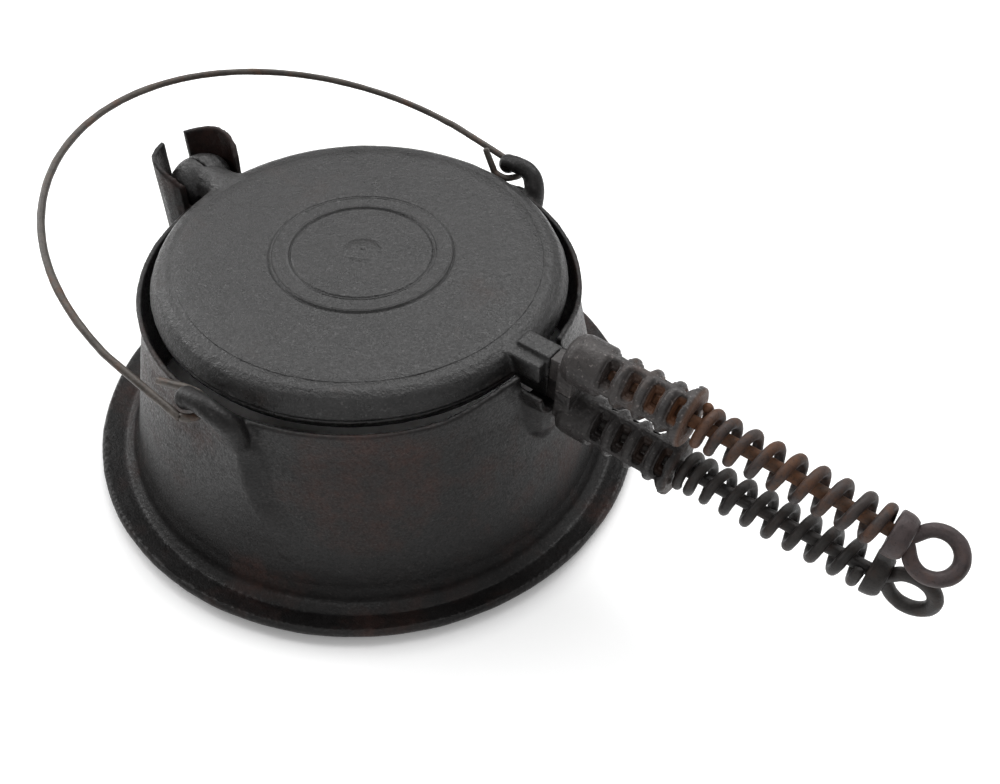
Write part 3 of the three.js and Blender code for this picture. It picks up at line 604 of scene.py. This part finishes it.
def ring_faces(rings, per_ring, closed):
    """Faces between each ring of points and the next, and if closed between the last and the first."""
    faces = []
    for i in range(rings if closed else rings - 1):
        j = (i + 1) % rings
        for k in range(per_ring):
            m = (k + 1) % per_ring
            faces.append((i * per_ring + k, j * per_ring + k, j * per_ring + m, i * per_ring + m))
    return faces


def turned(profile, sides):
    """A closed profile of (distance from the axis, place along it), turned about the axis."""
    profile = np.array(profile)
    angles = np.arange(sides) * 2 * math.pi / sides
    rings = np.stack([
        np.outer(np.cos(angles), profile[:, 0]),
        np.outer(np.sin(angles), profile[:, 0]),
        np.tile(profile[:, 1], (sides, 1)),
    ], axis=2)
    return rings.reshape(-1, 3), ring_faces(sides, len(profile), closed=True)


def swept(centres, radii, sides, closed=False):
    """A round wire along a line of points. Its ends are softly rounded, unless it is closed."""
    centres = np.array(centres, dtype=float)
    radii = np.broadcast_to(np.asarray(radii, dtype=float), len(centres)).copy()
    if closed:
        tangents = np.roll(centres, -1, axis=0) - np.roll(centres, 1, axis=0)
    else:
        lead = np.array(END_LEAD)
        thin = np.array(END_THIN)
        first = centres[0] - centres[1]
        last = centres[-1] - centres[-2]
        first /= np.linalg.norm(first)
        last /= np.linalg.norm(last)
        before = centres[0] + np.outer(lead * radii[0], first)
        after = centres[-1] + np.outer((lead * radii[-1])[::-1], last)
        centres = np.concatenate((before, centres, after))
        radii = np.concatenate((thin * radii[0], radii, (thin * radii[-1])[::-1]))
        tangents = np.gradient(centres, axis=0)
    tangents /= np.linalg.norm(tangents, axis=1)[:, None]
    up = np.array([0.0, 0.0, 1.0]) if abs(tangents[0][2]) < UPRIGHT_LIMIT else np.array([0.0, 1.0, 0.0])
    ups = []
    for tangent in tangents:
        up = up - tangent * up.dot(tangent)
        up /= np.linalg.norm(up)
        ups.append(up)
    ups = np.array(ups)
    sideways = np.cross(tangents, ups)
    angles = np.arange(sides) * 2 * math.pi / sides
    ring = (ups[:, None, :] * np.cos(angles)[None, :, None]
            + sideways[:, None, :] * np.sin(angles)[None, :, None])
    points = (centres[:, None, :] + ring * radii[:, None, None]).reshape(-1, 3)
    count = len(centres)
    faces = ring_faces(count, sides, closed)
    if not closed:
        faces.append(tuple(range(sides)))
        faces.append(tuple((count - 1) * sides + k for k in reversed(range(sides))))
    return points, faces


def through(points, steps):
    """A smooth line through a few points, evenly divided. Columns after the third are carried along."""
    points = np.array(points, dtype=float)
    ends = np.concatenate(([2 * points[0] - points[1]], points, [2 * points[-1] - points[-2]]))
    line = []
    for a, b, c, d in zip(ends, ends[1:], ends[2:], ends[3:]):
        for t in np.linspace(0, 1, CURVE_STEPS, endpoint=False):
            line.append(0.5 * (2 * b + (c - a) * t + (2 * a - 5 * b + 4 * c - d) * t ** 2
                               + (3 * b - a - 3 * c + d) * t ** 3))
    line.append(points[-1])
    line = np.array(line)
    lengths = np.concatenate(([0], np.cumsum(np.linalg.norm(np.diff(line[:, :3], axis=0), axis=1))))
    at = np.linspace(0, lengths[-1], steps)
    return np.stack([np.interp(at, lengths, column) for column in line.T], axis=1)


# Base


def trunks():
    """The thick stems of the two horns."""
    places = through(TRUNK, TRUNK_STEPS)
    radii = places[:, 3] / MM_IN_METRE
    return joined([
        swept(places[:, :3] * (1, side, 1) / MM_IN_METRE + (SHIFT_X, 0, 0), radii, TRUNK_SIDES)
        for side in (1, -1)
    ])


def swollen(points):
    """Circles out of flats, and under each horn a swelling of the wall with its crest near the front."""
    out = rounded(points, BASE_SIDES, 2, (SHIFT_X, 0.0))
    x, y, z = (out - (SHIFT_X, 0, 0)).T * MM_IN_METRE
    radius = np.hypot(x, y)
    slope = (WALL_FOOT[1] - WALL_TOP[1]) / (WALL_TOP[0] - WALL_FOOT[0])
    wall = WALL_TOP[1] + slope * np.maximum(WALL_TOP[0] - z, 0)
    crest, proud, back, front = (
        np.interp(z, SWELL_HEIGHTS, row) for row in (SWELL_CREST, SWELL_PROUD, SWELL_BACK, SWELL_FRONT)
    )
    behind = np.clip((crest - x) / back, 0, 1)
    ahead = np.clip((x - crest) / front, 0, 1)
    share_behind = (1 - behind) ** SWELL_FALL * (1 + SWELL_BELLY * behind)
    share = np.where(x < crest, share_behind, 1 - smoothstep(ahead, 0, 1))
    weight = smoothstep(z, *SWELL_COMES) * (1 - smoothstep(z, *SWELL_GOES)) * (radius > wall - SWELL_SKIN)
    weight = weight * (np.abs(y) > SWELL_ASIDE)
    wanted = radius + weight * (wall + proud * share - radius)
    out[:, 0] = SHIFT_X + x * wanted / radius / MM_IN_METRE
    out[:, 1] = y * wanted / radius / MM_IN_METRE
    return out


def soften_roots(mesh):
    """Melts each horn's root into the wall outside."""
    x, y, z = (vertices_of(mesh) - (SHIFT_X, 0, 0)).T * MM_IN_METRE
    near = smoothstep(x, *ROOT_X_COMES) * (1 - smoothstep(x, *ROOT_X_GOES)) * (np.abs(y) > ROOT_ASIDE)
    high = smoothstep(z, *ROOT_Z_COMES) * (1 - smoothstep(z, *ROOT_Z_GOES))
    relax(mesh, ROOT_ROUNDS, (near * high * (np.hypot(x, y) > ROOT_RADIUS))[:, None])


# Plates


def round_plate(points):
    """Circles out of flats."""
    return rounded(points, PLATE_SIDES, 2, (SHIFT_X, 0.0))


def thinned_crown(points):
    """Circles out of flats, and the crown lowered to make room for its disc."""
    out = round_plate(points)
    radius = np.hypot(out[:, 0] - SHIFT_X, out[:, 1])
    high = smoothstep(out[:, 2], *SINK_HEIGHTS)
    out[:, 2] -= high * (1 - smoothstep(radius, *SINK_RADII)) * CROWN_SINK
    return out


def make_crown(paint):
    profile = list(CROWN_BOSS)
    profile += [(radius, 0) for radius in CROWN_INNER_FLAT]
    profile += [(RING_INNER + off, height) for off, height in RAISED_LINE]
    profile += [(RING_OUTER - off, height) for off, height in reversed(RAISED_LINE)]
    profile += [(radius, 0) for radius in CROWN_OUTER_FLAT]
    profile += CROWN_EDGE
    points, faces = turned([(radius, CROWN_TOP + height) for radius, height in profile], CROWN_SIDES)
    points[:, 0] += SHIFT_X
    crown = new_piece("crown_disc", points, faces, paint)
    stand_in(crown, "upper_plate", "upper_plate")


# Ferrules


def sleeve_cells(side, high, share):
    """A thinner wall within a ferrule. Its windows are that share of the mouths outside."""
    xs = np.linspace(SLEEVE_START_X, SLEEVE_END_X, SLEEVE_COLUMNS + 1)
    middles = (xs[:-1] + xs[1:]) / 2
    angles = np.arange(SLEEVE_SIDES) * 2 * math.pi / SLEEVE_SIDES
    mean_radius = (SLEEVE_BORE + high) / 2
    solid = np.ones((SLEEVE_SIDES, SLEEVE_COLUMNS), dtype=bool)
    for row in range(SLOT_ROWS):
        row_angle = FIRST_ROW + row * ROW_STEP
        off = (angles + math.pi / SLEEVE_SIDES - row_angle + math.pi) % (2 * math.pi) - math.pi
        inside_angle = np.abs(off) * mean_radius < 0.5 * share * SLOT_WIDTH
        for i in range(SLOTS):
            centre = FIRST_SLOT_X + i * SLOT_PITCH
            inside_x = np.abs(middles - centre) < 0.5 * share * SLOT_LENGTH
            solid &= ~np.outer(inside_angle, inside_x)
    points = np.array([
        (x + SHIFT_X, radius * math.cos(angle), radius * math.sin(angle) * side)
        for radius in (SLEEVE_BORE, high) for angle in angles for x in xs
    ])
    points[:, 2] += PARTING_Z + side * HANDLE_OFFSET

    def at(shell, i, j):
        return (shell * SLEEVE_SIDES + i % SLEEVE_SIDES) * len(xs) + j

    faces = []
    for i, j in np.argwhere(solid).tolist():
        a, b, c, d = (i, j), (i + 1, j), (i + 1, j + 1), (i, j + 1)
        faces.append((at(1, *a), at(1, *b), at(1, *c), at(1, *d)))
        faces.append((at(0, *d), at(0, *c), at(0, *b), at(0, *a)))
        for p, q, open_side in (
            (a, d, not solid[i - 1, j]),
            (c, b, not solid[(i + 1) % SLEEVE_SIDES, j]),
            (b, a, j == 0 or not solid[i, j - 1]),
            (d, c, j == SLEEVE_COLUMNS - 1 or not solid[i, j + 1]),
        ):
            if open_side:
                faces.append((at(0, *p), at(0, *q), at(1, *q), at(1, *p)))
    if side > 0:
        faces = [tuple(reversed(face)) for face in faces]
    return points, faces


def funnels(side):
    """Four such walls, one round the other, so that the windows narrow inward, and the bead at the end."""
    angles = np.arange(BEAD_STEPS) * 2 * math.pi / BEAD_STEPS
    ring = np.stack((np.full(BEAD_STEPS, BEAD_X + SHIFT_X), BEAD_RADIUS * np.cos(angles),
                     BEAD_RADIUS * np.sin(angles) + PARTING_Z + side * HANDLE_OFFSET), axis=1)
    bead = swept(ring, BEAD_WIRE, BEAD_SIDES, closed=True)
    return joined([bead] + [sleeve_cells(side, high, share) for high, share in FUNNEL])


def dished(points, side):
    """Pulls the edges of a ferrule's windows in, so that the bars between them stand round and proud."""
    centre_z = PARTING_Z + side * HANDLE_OFFSET
    points = rounded(points, FERRULE_SIDES, 0, (0.0, centre_z))
    y, z = points[:, 1], points[:, 2] - centre_z
    radius = np.hypot(y, z)
    angle = np.arctan2(z, y)
    x = points[:, 0] - SHIFT_X
    row = np.round((angle - FIRST_ROW) / ROW_STEP)
    across = (angle - FIRST_ROW - row * ROW_STEP) * radius
    slot = np.clip(np.round((x - FIRST_SLOT_X) / SLOT_PITCH), 0, SLOTS - 1)
    along = x - FIRST_SLOT_X - slot * SLOT_PITCH
    off_x = np.maximum(np.abs(along) - SLOT_LENGTH / 2, 0)
    off_y = np.maximum(np.abs(across) - SLOT_WIDTH / 2, 0)
    near = np.clip(1 - np.hypot(off_x / BAR_HALF, off_y / RAIL_HALF), 0, 1)
    near = np.where(x > BEAD_X - BEAD_WIRE, 0, near)
    drop = 1 - np.sqrt(1 - near ** 2)
    outer = smoothstep(radius, DISH_START, FERRULE_RADIUS)
    shrink = 1 - drop * outer * BAR_DROP / np.maximum(radius, LEAST_RADIUS)
    out = points.copy()
    out[:, 1] = y * shrink
    out[:, 2] = centre_z + z * shrink
    return out


def make_ferrule(prefix, body, side, paint):
    """The number rust, kept for each point, says how rusty the iron is there."""
    piece = refined(prefix + "_ferrule", prefix + "_grip_sleeve", body, paint, voxel=0.0004, rounds=5,
                    reshape=lambda points: dished(points, side), extra=funnels(side))
    points = vertices_of(piece.data)
    radius = np.hypot(points[:, 1], points[:, 2] - PARTING_Z - side * HANDLE_OFFSET)
    x = points[:, 0] - SHIFT_X
    deep = 1 - smoothstep(radius, *RUST_RADII)
    deep = np.where((x < RUST_START_X) | (x > RUST_STOP_X), 0, deep)
    growth = RUST_LEAST + RUST_GROWTH * smoothstep(x, *RUST_GROWS_X)
    at_end = RUST_AT_END * smoothstep(x, LAST_SLOT_END, FERRULE_END_X)
    rust = np.clip(deep * growth + at_end, 0, 1)
    kept = piece.data.attributes.new("rust", "FLOAT", "POINT")
    kept.data.foreach_set("value", rust.astype(np.float32))
    uneven(piece, size=0.006, height=0.00018)


# Handles


def at_handle(points, side):
    """Points drawn about a rod that lies along X, brought to the upper or the lower handle."""
    x, y, z = np.array(points, dtype=float).T
    along = x - ROD_START_X
    place = ROD_START_X + along * math.cos(HANDLE_TILT) + z * math.sin(HANDLE_TILT) + SHIFT_X
    height = HANDLE_OFFSET - along * math.sin(HANDLE_TILT) + z * math.cos(HANDLE_TILT)
    return np.stack((place, side * y, PARTING_Z + side * height), axis=1)


def coil_line():
    """Middle of a coil's wire. Its turns lie close at both ends and open between."""
    steps = round(COIL_TURNS * COIL_STEPS_A_TURN)
    turn = (np.arange(steps) + 0.5) * COIL_TURNS / steps
    opening = smoothstep(turn, 0, COIL_OPENING_TURNS)
    closing = smoothstep(COIL_TURNS - turn, 0, COIL_CLOSING_TURNS)
    pitches = COIL_CLOSED_PITCH + (1 - COIL_CLOSED_PITCH) * opening * closing
    places = np.concatenate(([0], np.cumsum(pitches)))
    x = COIL_START_X + places / places[-1] * (COIL_END_X - COIL_START_X)
    angle = COIL_START_ANGLE - np.linspace(0, 2 * math.pi * COIL_TURNS, steps + 1)
    return np.stack((x, COIL_RADIUS * np.cos(angle), COIL_RADIUS * np.sin(angle)), axis=1)


def eye_line():
    """From the neck round the drop-shaped eye and back to the neck."""
    opening = math.acos(EYE_RADIUS / EYE_NECK)
    angles = np.linspace(math.pi - opening, opening - math.pi, EYE_RING_STEPS)
    ring = [(EYE_X + EYE_RADIUS * math.cos(a), EYE_RADIUS * math.sin(a), 0) for a in angles]
    start = [(EYE_NECK_X - EYE_TAIL, EYE_TAIL_GAP, 0), (EYE_NECK_X, EYE_TAIL_GAP, 0)]
    end = [(EYE_NECK_X, -EYE_TAIL_GAP, 0), (EYE_NECK_X - EYE_TAIL, -EYE_TAIL_GAP, 0)]
    return through(start + ring + end, EYE_STEPS)


def eye_shape(eye_turn):
    line = eye_line()
    fullness = np.sin(math.pi * np.linspace(0, 1, len(line))) ** EYE_FULLNESS
    points, faces = swept(line, EYE_TAIL_WIRE + (EYE_WIRE - EYE_TAIL_WIRE) * fullness, EYE_SIDES)
    turn = np.array(Matrix.Rotation(eye_turn, 3, "X"))
    return points @ turn.T, faces


def cap_shape():
    shoulder = [(CAP_TIP_RADIUS + left * (CAP_RADIUS - CAP_TIP_RADIUS), along * CAP_LENGTH)
                for along, left in CAP_SHOULDER]
    points, faces = turned([*CAP_FOOT, *shoulder, *CAP_MOUTH], CAP_SIDES)
    x, y, z = points.T
    return np.stack((CAP_START_X + z, x, y), axis=1), faces


def make_handle(prefix, body, side, eye_turn, coil_paint, rod_paint, end_paint):
    coil = swept(coil_line(), COIL_WIRE, COIL_SIDES)
    shank = [(x, 0, 0) for x in np.linspace(ROD_START_X, EYE_NECK_X + EYE_OVERLAP, ROD_STEPS)]
    rod = swept(shank, ROD_RADIUS, ROD_SIDES)

    def place(name, shape, paint, node, size, height, replaces=True):
        points, faces = shape
        piece = new_piece(prefix + name, at_handle(points, side), faces, paint)
        uneven(piece, size, height)
        stand_in(piece, body, prefix + node, *([prefix + node] if replaces else []))

    place("_spring", coil, coil_paint, "_coil", size=0.006, height=0.00012)
    place("_rod", rod, rod_paint, "_eye_rod", size=0.007, height=0.0001)
    place("_eye", eye_shape(eye_turn), end_paint, "_eye_rod", size=0.006, height=0.00015, replaces=False)
    place("_cap", cap_shape(), end_paint, "_end_cap", size=0.009, height=0.0002)


# Bail


def make_bail(paint):
    """The far hook's end turns up, the near one's lies back along the rim, as the wire was bent by hand."""
    bow_height = BAIL_REACH - BAIL_LEG
    angles = np.linspace(0, math.pi, BOW_STEPS)
    bow = [(BAIL_HALF_WIDTH * math.cos(a), BAIL_LEG + bow_height * math.sin(a)) for a in angles][1:-1]
    turns = np.linspace(1.5 * math.pi, 2 * math.pi, HOOK_STEPS)
    arc = [(HORN_Y + HOOK_RADIUS * math.cos(a), HOOK_RADIUS + HOOK_RADIUS * math.sin(a)) for a in turns]
    flat = arc + bow + [(-y, z) for y, z in arc[::-1]]
    laid = [(BAIL_X - z * math.sin(BAIL_LEAN), y, BAIL_Z + z * math.cos(BAIL_LEAN)) for y, z in flat]
    line = through(np.array([*FAR_HOOK, *laid, *NEAR_HOOK]) + (SHIFT_X, 0, 0), BAIL_STEPS)
    points, faces = swept(line, BAIL_WIRE, BAIL_SIDES)
    bail = new_piece("wire_bail", points, faces, paint)
    uneven(bail, size=0.012, height=0.00012)
    stand_in(bail, "bail", "bail", "bail")


# Stage


def area_light(name, place, aim, size_x, size_y, watts):
    data = bpy.data.lights.new(name, "AREA")
    data.shape = "RECTANGLE"
    data.size = size_x
    data.size_y = size_y
    data.energy = watts
    lamp = bpy.data.objects.new(name, data)
    lamp.location = place
    lamp.rotation_euler = (Vector(aim) - Vector(place)).to_track_quat("-Z", "Y").to_euler()
    bpy.context.collection.objects.link(lamp)


def make_stage():
    paint = Paint("floor")
    paint.shader.inputs["Base Color"].default_value = (FLOOR_GREY, FLOOR_GREY, FLOOR_GREY, 1)
    paint.shader.inputs["Emission Color"].default_value = (1, 1, 1, 1)
    squares = [paint.math("POWER", paint.math("SUBTRACT", paint.along(axis), middle), 2)
               for axis, middle in (("X", SHIFT_X), ("Y", 0))]
    distance = paint.math("SQRT", paint.math("ADD", *squares), 0)
    glow = paint.span(distance, *GLOW_DISTANCES, 0, GLOW_STRENGTH)
    paint.link(glow, paint.shader.inputs["Emission Strength"])
    paint.shader.inputs["Roughness"].default_value = FLOOR_ROUGHNESS
    corners = [(FLOOR_HALF * x, FLOOR_HALF * y, 0) for x, y in ((-1, -1), (1, -1), (1, 1), (-1, 1))]
    floor = new_piece("floor", corners, [(0, 1, 2, 3)], paint.material)
    floor.location.z = cad_low.z - FLOOR_GAP
    for light in LIGHTS:
        area_light(*light)
    world = bpy.data.worlds.new("world")
    bpy.context.scene.world = world
    world.use_nodes = True
    world.node_tree.nodes["Background"].inputs["Color"].default_value = (1, 1, 1, 1)
    world.node_tree.nodes["Background"].inputs["Strength"].default_value = WORLD_STRENGTH
    bpy.context.scene.view_settings.view_transform = "Standard"


# The whole

make_camera()

plate_iron = iron(
    "plate_iron", dark=(0.004, 0.0038, 0.0038), light=(0.0155, 0.0148, 0.0148), rust=(0.04, 0.022, 0.016),
    rust_span=(0.6, 0.88), rough=0.42, grain=0.0008, specular=0.55)
wall_iron = iron(
    "wall_iron", dark=(0.0045, 0.004, 0.004), light=(0.0085, 0.0074, 0.0072), rust=(0.046, 0.0195, 0.0145),
    rust_span=(0.5, 0.72), rough=0.46, grain=0.0005, specular=0.34, seed=31)
ferrule_iron = iron(
    "ferrule_iron", dark=(0.024, 0.021, 0.0205), light=(0.05, 0.044, 0.042), rust=(0.13, 0.052, 0.02),
    rust_span=(0.6, 0.9), rough=0.5, grain=0.0004, specular=0.45, seed=17,
    rust_where=lambda p: p.stored("rust"))
dark_ferrule = iron(
    "dark_ferrule", dark=(0.011, 0.0095, 0.0095), light=(0.024, 0.021, 0.02), rust=(0.05, 0.024, 0.014),
    rust_span=(0.6, 0.9), rough=0.5, grain=0.0004, specular=0.4, seed=71,
    rust_where=lambda p: p.math("MULTIPLY", p.stored("rust"), LOWER_RUST_SHARE))
coil_wire = wire(
    "coil_wire", dark=(0.024, 0.018, 0.017), light=(0.052, 0.038, 0.034), rust=(0.1, 0.042, 0.019),
    rust_span=(0.46, 0.7), rough=0.55, rust_start=COIL_START_X + SHIFT_X)
rusty_rod = wire(
    "rusty_rod", dark=(0.045, 0.025, 0.016), light=(0.08, 0.04, 0.022), rust=(0.15, 0.06, 0.024),
    rust_span=(0.4, 0.65), rough=0.62, seed=13)
dark_wire = wire(
    "dark_wire", dark=(0.011, 0.0095, 0.009), light=(0.024, 0.02, 0.018), rust=(0.04, 0.021, 0.014),
    rust_span=(0.52, 0.8), rough=0.5, seed=41)
cap_steel = wire(
    "cap_steel", dark=(0.034, 0.025, 0.025), light=(0.058, 0.042, 0.042), rust=(0.085, 0.045, 0.032),
    rust_span=(0.52, 0.78), rough=0.52, seed=61)
bail_wire = wire(
    "bail_wire", dark=(0.04, 0.034, 0.029), light=(0.085, 0.072, 0.062), rust=(0.11, 0.055, 0.033),
    rust_span=(0.52, 0.72), rough=0.45, seed=53)

base = refined("base_casting", "base", "base", wall_iron, voxel=0.001, rounds=3,
               reshape=swollen, extra=trunks())
soften_roots(base.data)
uneven(base, size=0.02, height=0.00018)
for node, name, reshape in (
    ("upper_plate", "top_plate", thinned_crown),
    ("lower_plate", "bottom_plate", round_plate),
):
    plate = refined(node, name, node, plate_iron, voxel=0.0009, rounds=3, reshape=reshape)
    uneven(plate, size=0.01, height=0.00015)
make_crown(plate_iron)
make_ferrule("upper", "upper_plate", 1, ferrule_iron)
make_ferrule("lower", "lower_plate", -1, dark_ferrule)
make_handle("upper", "upper_handle", 1, UPPER_EYE_TURN, coil_wire, rusty_rod, cap_steel)
make_handle("lower", "lower_handle", -1, LOWER_EYE_TURN, dark_wire, dark_wire, dark_wire)
make_bail(bail_wire)
make_stage()
